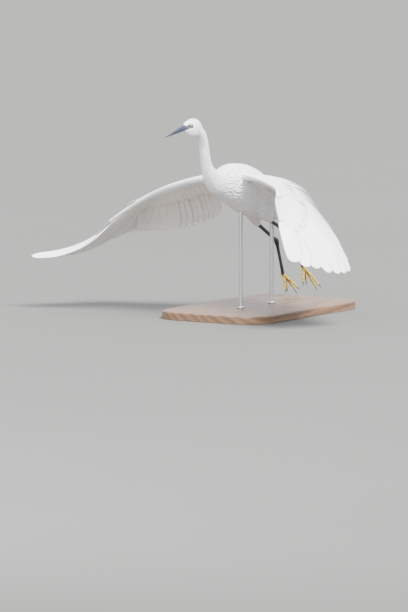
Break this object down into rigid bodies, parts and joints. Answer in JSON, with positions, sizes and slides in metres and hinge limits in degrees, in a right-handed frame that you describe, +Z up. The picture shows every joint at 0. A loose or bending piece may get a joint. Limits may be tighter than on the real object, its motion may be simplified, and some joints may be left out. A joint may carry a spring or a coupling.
{
  "type": "little egret",
  "caption": "Life-size still little egret with open wings, neck up and feet trailing, held over a flat board by two short rods.",
  "frame": {"origin": "middle of the underside of the display base", "axes": "+Z up, -Y the way the bird faces, +X the bird's left side"},
  "size_m": [0.7413, 0.5665, 0.4118],
  "materials": {
    "plumage": "soft white feathers, matte",
    "bill": "dark slate horn, satin",
    "eye": "wet, pale yellow iris and black pupil",
    "leg": "black scaled skin, satin",
    "foot": "dull yellow scaled skin",
    "claw": "dark horn, satin",
    "base_wood": "oiled dark wood, satin",
    "rod_metal": "brushed steel"
  },
  "bodies": {
    "root": {"torso": "plumage", "neck_lower": "plumage", "neck_middle": "plumage", "neck_upper": "plumage", "head": "plumage", "wing_left": "plumage", "wing_right": "plumage", "tail": "plumage", "thigh_left": "plumage", "thigh_right": "plumage", "bill_upper": "bill", "bill_lower": "bill", "eye_left": "eye", "eye_right": "eye", "shank_left": "leg", "shank_right": "leg", "foot_left": "foot", "foot_right": "foot", "claw_left_inner": "claw", "claw_left_middle": "claw", "claw_left_outer": "claw", "claw_left_hind": "claw", "claw_right_inner": "claw", "claw_right_middle": "claw", "claw_right_outer": "claw", "claw_right_hind": "claw", "stand_rod_front": "rod_metal", "stand_rod_rear": "rod_metal", "stand_base": "base_wood"}
  },
  "joints": []
}
